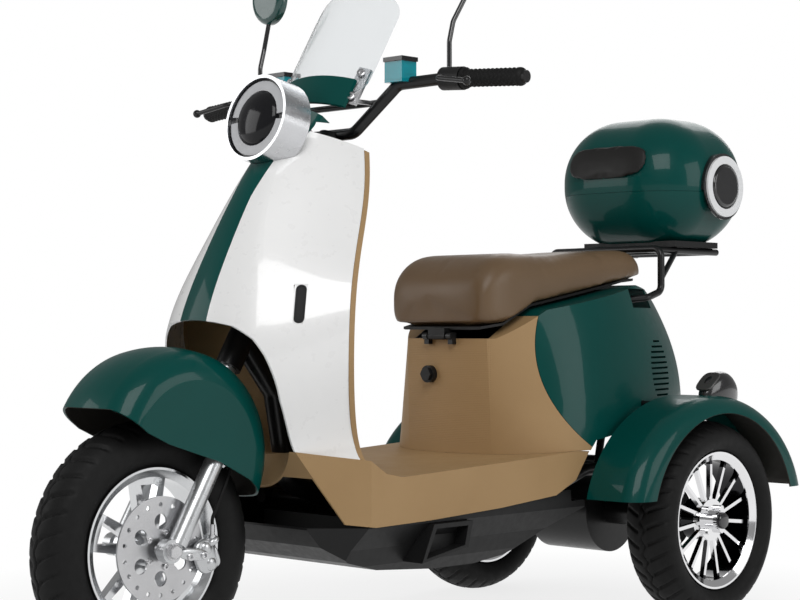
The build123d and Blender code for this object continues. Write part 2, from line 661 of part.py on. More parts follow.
def screen_band(outer, inner, half, low, high):
    """A curved sheet between two distances in front of the windscreen's front face."""
    centre = SCREEN_R - SCREEN_SAG
    def edge(grow):
        radius = SCREEN_R + grow
        side = centre - math.sqrt(radius ** 2 - half ** 2)
        return (-half, side), (0, centre - radius), (half, side)
    front, back = edge(outer), edge(inner)
    lines = [ThreePointArc(*front), Line(front[2], back[2]), ThreePointArc(*reversed(back)),
             Line(back[0], front[0])]
    return extrude(screen_plane().offset(low) * make_face(Wire(lines)), amount=high - low)


def make_front_lamp():
    plane = lamp_plane()
    bezel = extrude(plane * Circle(LAMP_R), amount=-LAMP_DEPTH)
    bezel -= extrude(plane.offset(1) * Circle(LAMP_R - 6), amount=-40)
    keep("headlight_bezel", bezel)
    lens = extrude(plane.offset(-38.7) * Circle(LAMP_R - 6.3), amount=30)
    dome = plane.offset(-8.7) * Sphere(40) & extrude(plane.offset(-9) * Circle(40), amount=12)
    keep("headlight_lens", lens + dome)
    neck = neck_solid(0) - neck_solid(PANEL) - lamp_space(SEAT_GAP) - shield_solid(-SEAT_GAP, 1)
    neck -= rod(on_axis(NECK_TOP), on_axis(NECK_TOP + 300), 300)
    keep("neck", neck.solids().sort_by(SortBy.VOLUME)[-1])
    screen = screen_band(0, -SCREEN_T, SCREEN_HALF, -90, 150)
    slope = math.radians(31)
    centre = (0, 450 + 30 * math.sin(slope), 1075 + 30 * math.cos(slope))
    flat = Plane(origin=centre, x_dir=(1, 0, 0), z_dir=(0, -math.cos(slope), math.sin(slope)))
    trim = extrude(flat * RectangleRounded(2 * SCREEN_HALF - 1, 240, 52), amount=120, both=True)
    keep("windscreen", screen & trim)
    cowl = screen_band(6, SEAT_GAP, 98, -112, -52)
    keep("cowl", cowl & rod(on_axis(NECK_TOP + HEAD_GAP), on_axis(NECK_TOP + 300), 300))
    strap = screen_band(-SCREEN_T - SEAT_GAP, -SCREEN_T - 4, 108, -100, -20)
    straps = strap - box_between((-88, 0, 0), (88, 1000, 2000))
    for low_x in (-93, 88):
        straps += box_between((low_x, 396.5, 996), (low_x + 5, BRACE_Y - BRACE_R - SEAT_GAP, 1004))
    keep("windscreen_straps", straps)


# Seat

def seat_plan(inset):
    """The seat from above."""
    middle = (SEAT_FRONT + SEAT_REAR) / 2
    long = SEAT_REAR - SEAT_FRONT
    return Pos(0, middle) * RectangleRounded(2 * (SEAT_HALF - inset), long - 2 * inset, 62 - inset)


# Columns: station, half width, low edge, high edge, corner radius.
SADDLE_SECTIONS = [(720, 112, 592, 652, 26), (738, 132, 574, 697, 42), (790, 145, 560, 727, 52),
                   (880, 143, 590, 731, 52), (1000, 137, 620, 735, 48), (1130, 131, 648, 745, 42),
                   (1225, 120, 664, 744, 34), (1258, 102, 676, 722, 20)]


def make_seat():
    faces = []
    for station, half, low, high, corner in SADDLE_SECTIONS:
        at = Plane.XZ.offset(-station) * Pos(0, (low + high) / 2)
        faces.append(at * RectangleRounded(2 * half, high - low, corner))
    under = [(600, 590), (740, 590), (790, 598), (866, 634), (1190, 688), (1262, 694), (1400, 705),
             (1400, 900), (600, 900)]
    cushion = loft(faces) & side_prism(under, -300, 300)
    keep("seat_cushion", cushion)
    pan_side = [(725, 589.6), (741, 589.6), (790, 597.6), (866, 633.7), (1190, 687.7), (1250, 692),
                (1250, 686), (1190, 681), (866, 627), (795, 590), (745, 583), (725, 583)]
    pan = extrude(Pos(0, 0, 500) * seat_plan(2), amount=400) & side_prism(pan_side, -300, 300)
    web = box_between((-22, SEAT_HINGE_Y - 6, SEAT_HINGE_Z), (22, SEAT_HINGE_Y + 6, 586))
    web += cross_rod(SEAT_HINGE_Y, SEAT_HINGE_Z, -22, 22, HINGE_EYE_R)
    web -= cross_rod(SEAT_HINGE_Y, SEAT_HINGE_Z, -60, 60, HINGE_PIN_R + RUNNING_GAP)
    keep("seat_pan", pan + web)
    ears = Part()
    for x in (-32, 32):
        ears += cross_rod(SEAT_HINGE_Y, SEAT_HINGE_Z, x - 6, x + 6, HINGE_EYE_R)
        ears += box_between((x - 6, SEAT_HINGE_Y, SEAT_HINGE_Z - 16),
                            (x + 6, PEDESTAL_FRONT - SEAT_GAP, SEAT_HINGE_Z + HINGE_EYE_R))
    ears += cross_rod(SEAT_HINGE_Y, SEAT_HINGE_Z, -38, 38, HINGE_PIN_R)
    keep("seat_hinge", ears)


# Rack and trunk

def make_rack():
    half = [RACK_FOOT, (RACK_HALF, 1215, 650), (RACK_HALF, RACK_Y, 664), (RACK_HALF, RACK_Y, RACK_TOP)]
    other = [(-x, y, z) for x, y, z in reversed(half)]
    rack = bent_tube(half + other, 18, RACK_R)
    for x in (-110, 110):
        rack += rod((x, RACK_Y, RACK_TOP), (x, 1520, RACK_TOP), RACK_R)
    for side in (-1, 1):
        rack += rod((side * RACK_HALF, RACK_Y, 690), (side * 110, 1370, RACK_TOP - 1), RACK_R - 1.5)
    for y in (1380, RACK_BAR_Y):
        rack += cross_rod(y, RACK_TOP, -110, 110, RACK_R - 0.5)
    keep("rack", rack)


RACK_BAR_Y = 1500.0


def egg(inset):
    """The trunk's rounded form."""
    block = Pos(0, TRUNK_Y, TRUNK_Z) * Box(*[2 * (h - inset) for h in TRUNK_HALF])
    return fillet(block.edges(), TRUNK_ROUND - inset)


def make_trunk():
    shell = egg(0) - egg(TRUNK_WALL)
    low = box_between((-300, 1200, 700), (300, 1700, TRUNK_SPLIT_Z - LID_GAP))
    high = box_between((-300, 1200, TRUNK_SPLIT_Z), (300, 1700, 1200))
    base, lid = shell & low, shell & high
    for x in (-60, 60):
        base += Pos(x, 0, 0) * trunk_knuckle(-1, 0, 18)
        base += cross_rod(TRUNK_HINGE_Y, TRUNK_SPLIT_Z, x - 9, x + 27, LID_PIN_R)
        lid += Pos(x, 0, 0) * trunk_knuckle(1, 18.5, 18)
    lid -= cross_rod(TRUNK_HINGE_Y, TRUNK_SPLIT_Z, -100, 100, LID_PIN_R + RUNNING_GAP) & high_lugs()
    keep("trunk_base", base)
    plate = box_between((-125, 1345, RACK_TOP + RACK_R + SEAT_GAP), (125, 1505, 775))
    keep("trunk_plate", plate - egg(-SEAT_GAP))
    keep("trunk_lid", lid)
    pad = (egg(-8) - egg(-SEAT_GAP)) & box_between((-105, 1200, 905), (105, 1340, 985))
    keep("trunk_pad", pad)
    face = TRUNK_HALF[0] + BOSS_STAND
    disc = cross_rod(*DISC_AT, TRUNK_HALF[0] - 40, face, BOSS_R) - egg(-SEAT_GAP)
    disc -= box_between((0, 1200, 700), (TRUNK_HALF[0] + 2, 1700, TRUNK_SPLIT_Z + 3))
    dome = cross_rod(*DISC_AT, face - 1, face + DOME_RISE, DOME_R)
    disc += fillet(dome.edges().sort_by(Axis.X)[-1], DOME_RISE - 1)
    ring = ring_across(*DISC_AT, face + SEAT_GAP, face + 5, BOSS_R - 6, 49)
    keep("trunk_disc", Compound(list(both_sides(disc))))
    keep("trunk_ring", Compound(list(both_sides(ring))))


TRUNK_HINGE_Y = TRUNK_Y + TRUNK_HALF[1] + HINGE_STAND
LID_PIN_R = 2.5


def trunk_knuckle(up, middle, length):
    """One hinge knuckle on the trunk's back: a barrel and the leaf that fixes it."""
    low_x, high_x = middle - length / 2, middle + length / 2
    back = TRUNK_Y + TRUNK_HALF[1]
    ends = sorted((TRUNK_SPLIT_Z + up * 1.5, TRUNK_SPLIT_Z + up * 26))
    leaf = box_between((low_x, back - 14, ends[0]), (high_x, back + 2.2, ends[1])) - egg(TRUNK_WALL / 2)
    return cross_rod(TRUNK_HINGE_Y, TRUNK_SPLIT_Z, low_x, high_x, KNUCKLE_R) + leaf


def high_lugs():
    """The room where the lid's knuckles stand, beside the base's."""
    room = Part()
    for x in (-60, 60):
        room += box_between((x + 9.2, TRUNK_Y, 800), (x + 27.8, 1700, 960))
    return room


def write_pieces():
    os.makedirs("parts", exist_ok=True)
    for name, shape in PIECES.items():
        export_step(Pos(0, -MID_Y, 0) * shape, f"parts/{name}.step")


make_wheels()
make_fork()
make_front_mudguard()
make_handlebar()
make_shield()
make_floor()
make_belly()
make_rear_body()
make_chassis()
make_rear_mudguards()
make_front_lamp()
make_seat()
make_rack()
make_trunk()
write_pieces()
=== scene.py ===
import math

import bmesh
from mathutils.bvhtree import BVHTree
import bpy
import numpy as np
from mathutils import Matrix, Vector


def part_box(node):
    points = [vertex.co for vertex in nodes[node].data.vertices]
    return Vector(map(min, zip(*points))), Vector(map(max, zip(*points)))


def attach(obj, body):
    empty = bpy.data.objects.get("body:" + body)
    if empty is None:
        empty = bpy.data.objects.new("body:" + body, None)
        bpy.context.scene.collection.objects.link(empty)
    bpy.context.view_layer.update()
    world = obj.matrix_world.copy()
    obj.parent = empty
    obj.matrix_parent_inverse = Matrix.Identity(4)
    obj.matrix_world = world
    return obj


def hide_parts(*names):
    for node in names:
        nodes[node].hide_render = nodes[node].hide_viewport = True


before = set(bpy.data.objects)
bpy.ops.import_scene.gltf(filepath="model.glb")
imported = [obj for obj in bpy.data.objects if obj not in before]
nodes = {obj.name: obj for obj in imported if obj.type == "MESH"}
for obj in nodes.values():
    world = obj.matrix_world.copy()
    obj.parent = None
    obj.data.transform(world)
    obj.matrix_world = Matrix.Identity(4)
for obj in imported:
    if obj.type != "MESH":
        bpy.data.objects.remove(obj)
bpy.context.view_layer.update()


# Camera
# The view of the photograph, found from the wheels and the handlebar: a long lens at hub height,
# ahead of the tricycle and to its left.
eye = bpy.data.cameras.new("photo_view")
eye.lens = 84.43
eye.sensor_width = 36.0
camera = bpy.data.objects.new("photo_view", eye)
camera.location = (2.5419, -2.66175, 0.5912)
camera.rotation_euler = (math.radians(90.779), 0, math.radians(44.479))
bpy.context.scene.collection.objects.link(camera)
bpy.context.scene.camera = camera
bpy.context.scene.view_settings.view_transform = "Standard"


# Studio floor
# A pale seamless floor, seen as plain white by the camera and by polished parts, that keeps the
# soft shadow under the wheels.
class Field:
    """A node socket that takes part in Python arithmetic. Each operator adds one Math node."""

    def __init__(self, finish, socket):
        self.finish = finish
        self.socket = socket

    def __add__(self, other):
        return self.finish.maths("ADD", self, other)

    def __sub__(self, other):
        return self.finish.maths("SUBTRACT", self, other)

    def __mul__(self, other):
        return self.finish.maths("MULTIPLY", self, other)

    def __gt__(self, other):
        return self.finish.maths("GREATER_THAN", self, other)

    def __lt__(self, other):
        return self.finish.maths("LESS_THAN", self, other)


class Finish:
    """One material. Its constants sit on the shader's own sockets, nodes are added by node(), and spot is the
    point on the piece, in metres."""

    def __init__(self, name, **constants):
        self.material = bpy.data.materials.new(name)
        self.material.use_nodes = True
        self.tree = self.material.node_tree
        self.shader = self.tree.nodes["Principled BSDF"]
        for socket, value in constants.items():
            self.shader.inputs[socket.replace("_", " ")].default_value = value
        self.spot = self.node("ShaderNodeTexCoord", {}, output=3)

    def node(self, kind, settings, *values, output=0, **named):
        """Add a node of a type: settings first, then the values or links of its sockets."""
        made = self.tree.nodes.new(kind)
        for setting, value in settings.items():
            setattr(made, setting, value)
        named = {key.replace("_", " "): value for key, value in named.items()}
        for key, value in [*enumerate(values), *named.items()]:
            if isinstance(value, Field):
                self.tree.links.new(value.socket, made.inputs[key])
            else:
                made.inputs[key].default_value = value
        return Field(self, made.outputs[output])

    def maths(self, operation, *terms):
        """One Math node."""
        return self.node("ShaderNodeMath", {"operation": operation}, *terms)

    def feed(self, socket, value):
        """Link a value that varies over the surface to one of the shader's sockets."""
        self.tree.links.new(value.socket, self.shader.inputs[socket])

    def axes(self):
        """The three parts of the point on the piece."""
        split = self.node("ShaderNodeSeparateXYZ", {}, self.spot)
        return [Field(self, output) for output in split.socket.node.outputs]

    def noise(self, scale, detail=3.0):
        """Soft grey mottling between 0 and 1."""
        return self.node("ShaderNodeTexNoise", {}, Vector=self.spot, Scale=scale, Detail=detail)

    def pebbles(self, feature, scale):
        """Small cells, for leather-like grain."""
        return self.node("ShaderNodeTexVoronoi", {"feature": feature}, Vector=self.spot, Scale=scale)

    def ramp(self, value, low, high, bottom=0.0, top=1.0):
        """Carry a value from one range to another, held at both ends."""
        return self.node("ShaderNodeMapRange", {}, value, low, high, bottom, top)

    def blend(self, mask, first, second):
        """First colour where the mask is 0, second where it is 1."""
        mix = self.tree.nodes.new("ShaderNodeMix")
        mix.data_type = "RGBA"
        self.tree.links.new(mask.socket, mix.inputs[0])
        for slot, colour in ((6, first), (7, second)):
            mix.inputs[slot].default_value = (*colour, 1.0)
        return Field(self, mix.outputs[2])

    def mottle(self, scale, first, second):
        """Let the colour wander between two tones."""
        self.feed("Base Color", self.blend(self.noise(scale), first, second))

    def wear(self, scale, low, high):
        """Let the roughness wander between two values."""
        self.feed("Roughness", self.ramp(self.noise(scale), 0.2, 0.8, low, high))

    def bump(self, height, distance, strength=1.0):
        """Raise the surface by a height field."""
        raised = self.node("ShaderNodeBump", {}, Strength=strength, Distance=distance, Height=height)
        self.feed("Normal", raised)


studio = Finish("studio_floor", Base_Color=(0.86, 0.86, 0.86, 1.0), Roughness=0.9)
white = studio.node("ShaderNodeEmission", {}, (1.0, 1.0, 1.0, 1.0), 1.0)
rays = studio.node("ShaderNodeLightPath", {}).socket.node.outputs
seen = studio.maths("MAXIMUM", Field(studio, rays["Is Camera Ray"]), Field(studio, rays["Is Glossy Ray"]))
seen = studio.maths("MAXIMUM", seen, Field(studio, rays["Is Transmission Ray"]))
where = studio.axes()
reach = (where[0] * where[0] + where[1] * where[1]) * 0.09
near_reach, far_reach = 0.04, 0.16
least_white = 0.80
plain = studio.ramp(reach, near_reach, far_reach, least_white, 1.0)
mix = studio.tree.nodes.new("ShaderNodeMixShader")
studio.tree.links.new((seen * plain).socket, mix.inputs[0])
studio.tree.links.new(studio.shader.outputs[0], mix.inputs[1])
studio.tree.links.new(white.socket, mix.inputs[2])
studio.tree.links.new(mix.outputs[0], studio.tree.nodes["Material Output"].inputs[0])
corner = 30.0
ground = bpy.data.meshes.new("studio_floor")
ground.from_pydata([(-corner, -corner, 0), (corner, -corner, 0), (corner, corner, 0), (-corner, corner, 0)],
                   [], [(0, 1, 2, 3)])
floor = bpy.data.objects.new("studio_floor", ground)
bpy.context.scene.collection.objects.link(floor)
floor.data.materials.append(studio.material)


# Studio light
# Four broad soft lamps and a pale sky, which is plain white to the camera and through clear parts.
world = bpy.data.worlds.new("studio_sky")
bpy.context.scene.world = world
world.use_nodes = True
sky = world.node_tree
sky_rays = sky.nodes.new("ShaderNodeLightPath")
either = sky.nodes.new("ShaderNodeMath")
either.operation = "MAXIMUM"
sky.links.new(sky_rays.outputs["Is Camera Ray"], either.inputs[0])
sky.links.new(sky_rays.outputs["Is Transmission Ray"], either.inputs[1])
strength = sky.nodes.new("ShaderNodeMapRange")
sky.links.new(either.outputs[0], strength.inputs[0])
sky_as_light = 0.30
sky_as_seen = 1.0
strength.inputs[3].default_value = sky_as_light
strength.inputs[4].default_value = sky_as_seen
sky.nodes["Background"].inputs[0].default_value = (1.0, 1.0, 1.0, 1.0)
sky.links.new(strength.outputs[0], sky.nodes["Background"].inputs[1])
lit_point = np.array([0.0, 0.0, 0.6])
lamps = (("key_light", (2.4, -2.2, 3.2), 2.2, 80.0), ("side_light", (3.4, 1.2, 1.6), 1.8, 30.0),
         ("front_light", (-2.6, -3.0, 1.8), 2.0, 34.0), ("back_light", (-1.5, 3.0, 2.6), 2.0, 24.0))
for name, stand, size, power in lamps:
    lamp = bpy.data.lights.new(name, "AREA")
    lamp.size = size
    lamp.energy = power
    holder = bpy.data.objects.new(name, lamp)
    holder.location = stand
    aim = lit_point - np.array(stand)
    pitch = math.atan2(math.hypot(aim[0], aim[1]), -aim[2])
    holder.rotation_euler = (pitch, 0, math.atan2(aim[1], aim[0]) - math.pi / 2)
    bpy.context.scene.collection.objects.link(holder)


# Green bodywork
# Sprayed plastic panels in deep teal green: mudguards, side panels, centre stripe, neck, cowl and
# trunk shells. Clear coat over colour, with faint orange peel.
def dress(finish, *names):
    """Give a CAD node's slots one finish."""
    for name in names:
        for slot in nodes[name].material_slots:
            slot.material = finish.material
        if not nodes[name].material_slots:
            nodes[name].data.materials.append(finish.material)


green = Finish("green_gloss", Specular_IOR_Level=0.08, Coat_Weight=0.22, Coat_Roughness=0.06)
green.mottle(5.0, (0.0, 0.046, 0.039), (0.0002, 0.060, 0.052))
green.wear(60.0, 0.3, 0.38)
green.bump(green.noise(700.0, 1.0), 0.00002, 0.35)
dress(green, "front_mudguard", "side_panel_left", "side_panel_right", "centre_stripe", "neck", "cowl",
      "rear_mudguards", "trunk_base", "trunk_lid")


# White leg shield
# Two glossy white panels either side of the stripe, moulded and lacquered.
white_panel = Finish("white_gloss", Coat_Weight=0.7, Coat_Roughness=0.05)
white_panel.mottle(4.0, (0.80, 0.80, 0.795), (0.84, 0.84, 0.835))
white_panel.wear(50.0, 0.25, 0.33)
white_panel.bump(white_panel.noise(500.0, 1.0), 0.00002, 0.25)
dress(white_panel, "outer_shield_left", "outer_shield_right")


# Beige plastics
# Floor, inner shield and seat pedestal, moulded in tan plastic with a fine leather-like grain. The
# pedestal's front has a diamond texture.
tan = Finish("beige_plastic", Specular_IOR_Level=0.25)
x, y, z = tan.axes()
tan.mottle(9.0, (0.325, 0.205, 0.095), (0.375, 0.245, 0.120))
tan.wear(35.0, 0.5, 0.62)
grain = tan.pebbles("F1", 520.0)
diamonds = 900.0
wave = tan.maths("SINE", (x + z) * diamonds) * tan.maths("SINE", (x - z) * diamonds)
face_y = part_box("pedestal")[0].y
face_depth = 0.02
face_foot = 0.36
on_face = (y < face_y + face_depth) * (z > face_foot)
tan.bump(grain * 0.6 + wave * on_face * 1.4, 0.00025, 0.5)
dress(tan, "floor_panel", "inner_shield", "pedestal")


# Black mouldings
# Belly pan, scoops, seat base and bucket, moulded in black plastic with a satin grain.
moulding = Finish("black_plastic", Specular_IOR_Level=0.25)
moulding.mottle(12.0, (0.006, 0.006, 0.0062), (0.011, 0.011, 0.0112))
moulding.wear(80.0, 0.36, 0.52)
moulding.bump(moulding.noise(900.0, 2.0), 0.0001, 0.35)
dress(moulding, "belly_pan", "side_scoops", "seat_pan", "storage_bucket", "switch_blocks", "battery",
      "charge_port", "trunk_plate")

gloss_black = Finish("black_gloss", Coat_Weight=0.6, Coat_Roughness=0.05)
gloss_black.mottle(8.0, (0.006, 0.006, 0.007), (0.010, 0.010, 0.011))
gloss_black.wear(60.0, 0.14, 0.24)
dress(gloss_black, "lamp_pods", "trunk_disc")


# Painted steel
# Frame, rack, bar, levers, axle and motor in black powder coat with a fine pebble.
powder = Finish("black_paint", Specular_IOR_Level=0.3, Coat_Weight=0.1, Coat_Roughness=0.15)
powder.mottle(20.0, (0.004, 0.004, 0.0042), (0.008, 0.008, 0.0083))
powder.wear(120.0, 0.26, 0.4)
powder.bump(powder.noise(1300.0, 1.0), 0.00006, 0.4)
dress(powder, "main_frame", "motor", "axle_beam", "rack", "seat_hinge", "handlebar", "levers")


# Fork, disc and caliper
# Silver-lacquered fork legs, a stainless disc with turned rings, and a cast caliper.
silver = Finish("silver_paint", Metallic=0.85)
silver.mottle(25.0, (0.50, 0.51, 0.52), (0.60, 0.61, 0.62))
silver.wear(90.0, 0.24, 0.36)
dress(silver, "fork", "caliper")

bezel = Finish("satin_alloy", Metallic=1.0)
bezel.mottle(18.0, (0.54, 0.545, 0.56), (0.64, 0.645, 0.66))
bezel.wear(90.0, 0.2, 0.3)
dress(bezel, "headlight_bezel")

steel = Finish("steel", Metallic=1.0)
x, y, z = steel.axes()
hub_low, hub_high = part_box("front_disc")
hub_y, hub_z = (hub_low.y + hub_high.y) / 2, (hub_low.z + hub_high.z) / 2
across, up = y - hub_y, z - hub_z
radius = steel.maths("SQRT", across * across + up * up)
ring_count = 5200.0
lines = steel.maths("SINE", radius * ring_count)
steel.mottle(30.0, (0.46, 0.46, 0.47), (0.60, 0.60, 0.61))
steel.feed("Roughness", steel.ramp(lines, -1.0, 1.0, 0.24, 0.36))
steel.bump(lines, 0.00003, 0.25)
dress(steel, "front_disc", "front_axle", "windscreen_straps", "rear_shaft_left", "rear_shaft_right")


# Wheels
# A polished cast front wheel and chromed rear wheels, with painted shade in their deep barrels between the
# spokes.
cast = Finish("cast_alloy", Metallic=1.0)
cast.mottle(14.0, (0.58, 0.59, 0.60), (0.70, 0.71, 0.72))
cast.wear(70.0, 0.12, 0.24)
dress(cast, "front_rim")

chrome = Finish("chrome", Metallic=1.0)
x, y, z = chrome.axes()
rim_low, rim_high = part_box("rear_rim_left")
rim_y, rim_z = (rim_low.y + rim_high.y) / 2, (rim_low.z + rim_high.z) / 2
out = chrome.maths("ABSOLUTE", x)
across, up = y - rim_y, z - rim_z
radius = chrome.maths("SQRT", across * across + up * up)
barrel_radius = 0.1265
spoke_end = 0.112
lip_x = 0.338
hollow_x = 0.318
# Painted shade: the chrome is coloured near black in the barrel between the spoke ends and the lip, and
# everywhere inside the barrel's radius on the wheel's inner side, where shade falls.
inside_barrel = (radius < barrel_radius) * (radius > spoke_end) * (out < lip_x)
deep = (out < hollow_x) * (radius < barrel_radius)
painted_barrel_shade = chrome.maths("MAXIMUM", inside_barrel, deep)
chrome.feed("Base Color", chrome.blend(painted_barrel_shade, (0.80, 0.80, 0.81), (0.03, 0.03, 0.032)))
chrome.wear(90.0, 0.05, 0.12)
dress(chrome, "rear_rim_left", "rear_rim_right")


# Clear and lit parts
# A pale acrylic windscreen, a black lamp glass, see-through teal brake tanks with black lids, and the
# trunk's white ring.
screen = Finish("clear_screen", Base_Color=(0.80, 0.82, 0.83, 1.0), Transmission_Weight=0.94, IOR=1.2)
screen.wear(18.0, 0.02, 0.07)
dress(screen, "windscreen")

lamp_black = Finish("lamp_lens", Specular_IOR_Level=0.15, Coat_Weight=0.12, Coat_Roughness=0.03)
lamp_black.mottle(30.0, (0.006, 0.006, 0.007), (0.012, 0.012, 0.014))
lamp_black.wear(90.0, 0.08, 0.16)
dress(lamp_black, "headlight_lens")

teal = Finish("teal_tank", Transmission_Weight=0.35, IOR=1.3, Coat_Weight=0.5)
z = teal.axes()[2]
tank_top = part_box("reservoirs")[1].z
lid_height = 0.0085
lid_mask = z > tank_top - lid_height
teal.feed("Base Color", teal.blend(lid_mask, (0.0, 0.30, 0.36), (0.01, 0.01, 0.011)))
teal.wear(60.0, 0.12, 0.22)
dress(teal, "reservoirs")

ring_white = Finish("ring_white", Coat_Weight=0.6)
ring_white.mottle(40.0, (0.78, 0.79, 0.80), (0.84, 0.85, 0.86))
ring_white.wear(70.0, 0.2, 0.3)
dress(ring_white, "trunk_ring")


# Rubber
# Moulded tyres, ribbed grips and the brake hose.
rubber = Finish("tyre_rubber", Specular_IOR_Level=0.18)
rubber.mottle(18.0, (0.004, 0.004, 0.004), (0.008, 0.008, 0.008))
rubber.wear(70.0, 0.5, 0.68)
rubber.bump(rubber.noise(1100.0, 2.0), 0.00012, 0.4)
dress(rubber, "front_tyre", "rear_tyre_left", "rear_tyre_right", "grips", "brake_hose")


# Tyres
# Moulded rubber rings on the rims' beads: round side walls, and a crown cut by a wavy centre groove
# and slanted side grooves.
def arc_through(first, middle, last, count):
    """Even points along the circle through three points of a plane. The centre comes from complex numbers."""
    a, b, c = (complex(*point) for point in (first, middle, last))
    ratio = (c - a) / (b - a)
    centre = a - (a - b) * (ratio - abs(ratio) ** 2) / (2j * ratio.imag)
    start, halfway, end = np.unwrap([np.angle(point - centre) for point in (a, b, c)])
    around = centre + abs(a - centre) * np.exp(1j * np.linspace(start, end, count))
    return np.stack([around.real, around.imag], axis=-1)


def piece(name, grids, finish, body):
    """A smooth closed mesh from grids of points. Each row of a grid is a ring, rows follow each other, and
    points that fall together are merged."""
    points, faces, base = [], [], 0
    for grid in grids:
        rows, columns = grid.shape[:2]
        index = base + np.arange(rows * columns).reshape(rows, columns)
        ahead = np.roll(index, -1, axis=1)
        faces.append(np.stack([index[:-1], ahead[:-1], ahead[1:], index[1:]], axis=-1).reshape(-1, 4))
        points.append(grid.reshape(-1, 3))
        base += rows * columns
    shape = bpy.data.meshes.new(name)
    shape.from_pydata(np.concatenate(points).tolist(), [], np.concatenate(faces).tolist())
    mend = bmesh.new()
    mend.from_mesh(shape)
    bmesh.ops.remove_doubles(mend, verts=mend.verts, dist=1e-6)
    bmesh.ops.recalc_face_normals(mend, faces=mend.faces)
    mend.to_mesh(shape)
    mend.free()
    shape.shade_smooth()
    shape.set_sharp_from_angle(angle=math.radians(38))
    made = bpy.data.objects.new(name, shape)
    bpy.context.scene.collection.objects.link(made)
    shape.materials.append(finish.material)
    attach(made, body)
    return made


bead_foot = 0.1273
bead_neck = 0.1388
pitches = 38
groove_depth = 0.0036
wave_share = 0.09
middle_width = 0.055
side_width = 0.09
side_lean = 0.55
side_stagger = 0.25


def treaded_ring(node, bead):
    """The tyre's section carried round the axle. The crown sinks by the groove depth where the wavy centre
    line, a sine of the angle, or a slanted line across the shoulder passes."""
    low, high = (np.array(corner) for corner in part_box(node))
    radius, half = (high[2] - low[2]) / 2, (high[0] - low[0]) / 2
    side = (half, (radius + bead_neck) / 2 + 0.003)
    shoulder = (half - 0.013, radius - 0.012)
    wall = arc_through((bead, bead_neck), side, shoulder, 14)
    crown = arc_through(shoulder, (0.0, radius), (-shoulder[0], shoulder[1]), 46)
    foot = np.array([[bead, bead_foot]])
    section = np.concatenate([foot, wall, crown[1:-1], wall[::-1] * (-1, 1), foot * (-1, 1), foot])
    angle = np.linspace(0, 2 * math.pi, 13 * pitches, endpoint=False)
    across = section[:, :1] / shoulder[0]
    turn = angle * pitches / (2 * math.pi)
    wave = wave_share * np.sin(2 * math.pi * turn)
    middle_line = np.clip(1.4 - np.abs(across - wave) / middle_width, 0, 1)
    slant = (turn + side_lean * np.abs(across) + side_stagger * (across > 0)) % 1.0
    beside_middle = np.clip((np.abs(across) - 0.2) / 0.05, 0, 1)
    side_line = np.clip(1.6 - np.abs(slant - 0.5) / side_width, 0, 1) * beside_middle
    on_crown = np.clip((section[:, 1:] - radius + 0.020) / 0.005, 0, 1)
    tread = np.maximum(middle_line, side_line) * on_crown
    reach = section[:, 1:] - groove_depth * tread
    middle = (low + high) / 2
    grid = np.stack([section[:, :1] + 0 * reach, reach * np.cos(angle), reach * np.sin(angle)], axis=-1)
    return grid + middle


front_bead = 0.0297
rear_bead = 0.0357
tyres = (("front_tyre", "front_wheel", front_bead), ("rear_tyre_left", "rear_wheel_left", rear_bead),
         ("rear_tyre_right", "rear_wheel_right", rear_bead))
for node, body, bead in tyres:
    made = piece(f"{node}_tread", [treaded_ring(node, bead)], rubber, body)
    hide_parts(node)


# Grips
# Soft rubber sleeves on the bar's ends, with a diamond pattern between a collar and a round tip.
grip_start = np.array([0.29188, -0.20658, 1.03072])
grip_run = np.array([0.9960, 0.0629, -0.0629])
grip_long = 0.137
grip_radius = 0.0165
tip_long = 0.012
collar_long = 0.0045
collar_rise = 0.003
rib_depth = 0.0016
rib_pitch = 330
rib_starts = 5
rib_fade = 0.002


def sleeve(side):
    """Rings along the bar. The radius loses the product of two crossed sine waves, grows into a collar at the
    inner end, and closes by a quarter circle at the tip."""
    shank = grip_long - tip_long
    rounding = np.sin(np.linspace(0, math.pi / 2, 10)[1:])
    straight = np.linspace(0.0, shank, 96)[1:]
    along = np.concatenate([[0.0, 0.0], straight, shank + tip_long * rounding])[:, None]
    angle = np.linspace(0, 2 * math.pi, 60, endpoint=False)
    one_way = np.sin(along * rib_pitch + angle * rib_starts)
    other_way = np.sin(along * rib_pitch - angle * rib_starts)
    crossed = np.abs(one_way) * np.abs(other_way)
    past_collar = np.clip((along - 0.006) / rib_fade, 0, 1)
    before_tip = np.clip((grip_long - 0.014 - along) / rib_fade, 0, 1)
    body_part = past_collar * before_tip
    radius = grip_radius - rib_depth * body_part * (1 - crossed)
    radius = radius + collar_rise * (along < collar_long)
    tip = np.clip((along - shank) / tip_long, 0, 1)
    radius = radius * np.sqrt(np.clip(1 - tip ** 2, 0, 1))
    radius[0] = 0
    run = grip_run * (side, 1, 1) / np.linalg.norm(grip_run)
    up = np.array([0.0, 0.0, 1.0]) - run * run[2]
    up = up / np.linalg.norm(up)
    over = np.cross(run, up)
    ring = np.cos(angle)[:, None] * up + np.sin(angle)[:, None] * over
    return grip_start * (side, 1, 1) + along[..., None] * run + radius[..., None] * ring


grips = piece("ribbed_grips", [sleeve(1), sleeve(-1)], rubber, "steering")
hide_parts("grips")


# Lamp faces
# A frosted ring light in two halves round a domed black lens, behind the bezel's lip.
def ring_frame(normal):
    """Two directions across a normal."""
    normal = np.array(normal) / np.linalg.norm(normal)
    rough = (0.0, 1.0, 0.0) if abs(normal[0]) > 0.9 else (1.0, 0.0, 0.0)
    first = np.cross(normal, rough)
    first = first / np.linalg.norm(first)
    return normal, first, np.cross(normal, first)


